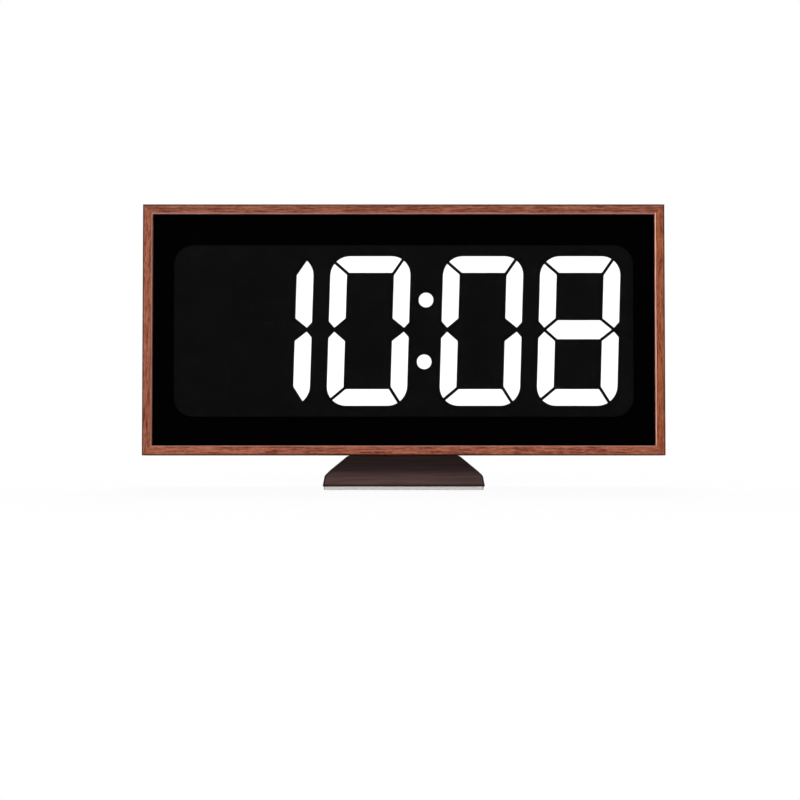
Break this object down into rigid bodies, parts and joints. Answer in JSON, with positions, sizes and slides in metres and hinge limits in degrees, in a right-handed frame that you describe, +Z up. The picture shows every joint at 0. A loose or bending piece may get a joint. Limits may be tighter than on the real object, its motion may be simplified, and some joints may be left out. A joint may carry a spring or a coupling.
{
  "type": "led clock",
  "caption": "Wide LED desk clock: mitred wood frame, smoked front panel, large slanted white segment digits, sloped dark stand, push buttons and battery cap at the back.",
  "frame": {"origin": "centre of the stand's footprint, on the surface it stands on", "axes": "+X to the right seen from the front, +Y towards the back, +Z up"},
  "size_m": [0.38, 0.086, 0.2067],
  "materials": {
    "wood_frame": "satin red-brown wood, grain along each rail",
    "block_wood": "sawn pale wood",
    "smoked_panel": "polished smoked acrylic",
    "mask_film": "black printed film",
    "display_grey": "matt dark-grey moulding",
    "lit_white": "lit white light guide",
    "circuit_board": "green solder mask",
    "led_package": "small light-source packages",
    "chip_black": "moulded black",
    "connector_ivory": "moulded ivory",
    "ribbon_grey": "flat grey cable",
    "bright_steel": "plated steel",
    "can_aluminium": "bare can",
    "switch_grey": "moulded grey",
    "button_black": "fine satin texture",
    "cover_black": "spark-eroded moulding texture",
    "contact_brass": "bright",
    "stand_brown": "satin dark brown",
    "pad_grey": "pale grey non-slip pad"
  },
  "bodies": {
    "clock": {"frame_top": "wood_frame", "frame_bottom": "wood_frame", "frame_left": "wood_frame", "frame_right": "wood_frame", "corner_blocks": "block_wood", "stand_block": "block_wood", "top_block": "block_wood", "front_panel": "smoked_panel", "window_mask": "mask_film", "display_housing": "display_grey", "unlit_segments": "display_grey", "hour_tens_segments": "lit_white", "hour_units_segments": "lit_white", "minute_tens_segments": "lit_white", "minute_units_segments": "lit_white", "colon_dots": "lit_white", "display_board": "circuit_board", "control_board": "circuit_board", "segment_leds": "led_package", "display_drivers": "chip_black", "microcontroller": "chip_black", "buzzer": "chip_black", "display_connector": "connector_ivory", "control_connector": "connector_ivory", "ribbon_cable": "ribbon_grey", "display_screws": "bright_steel", "cover_screws": "bright_steel", "board_screws": "bright_steel", "stand_screws": "bright_steel", "floor_screws": "bright_steel", "time_crystal": "bright_steel", "coin_cell": "bright_steel", "power_socket": "bright_steel", "ballast_plate": "bright_steel", "capacitors": "can_aluminium", "tact_switches": "switch_grey", "back_cover": "cover_black", "stand_floor": "cover_black", "cell_contact": "contact_brass", "stand_inserts": "contact_brass", "stand_shell": "stand_brown", "stand_pad": "pad_grey"},
    "set_button": {"set_button": "button_black", "set_plunger": "switch_grey"},
    "up_button": {"up_button": "button_black", "up_plunger": "switch_grey"},
    "down_button": {"down_button": "button_black", "down_plunger": "switch_grey"},
    "light_button": {"light_button": "button_black", "light_plunger": "switch_grey"},
    "battery_cap": {"battery_cap": "button_black"}
  },
  "joints": [
    {"name": "set_press", "type": "slide", "parent": "clock", "child": "set_button", "axis": [0, -0.9994, 0.0349], "range_m": [0, 0.0005], "stiffness_N_per_m": 3000},
    {"name": "up_press", "type": "slide", "parent": "clock", "child": "up_button", "axis": [0, -0.9994, 0.0349], "range_m": [0, 0.0005], "stiffness_N_per_m": 3000},
    {"name": "down_press", "type": "slide", "parent": "clock", "child": "down_button", "axis": [0, -0.9994, 0.0349], "range_m": [0, 0.0005], "stiffness_N_per_m": 3000},
    {"name": "light_press", "type": "slide", "parent": "clock", "child": "light_button", "axis": [0, -0.9994, 0.0349], "range_m": [0, 0.0005], "stiffness_N_per_m": 3000},
    {"name": "cap_turn", "type": "hinge", "parent": "clock", "child": "battery_cap", "pos_m": [-0.062, 0.01976, 0.10206], "axis": [0, 0.9994, -0.0349], "range_deg": [0, 50]}
  ]
}
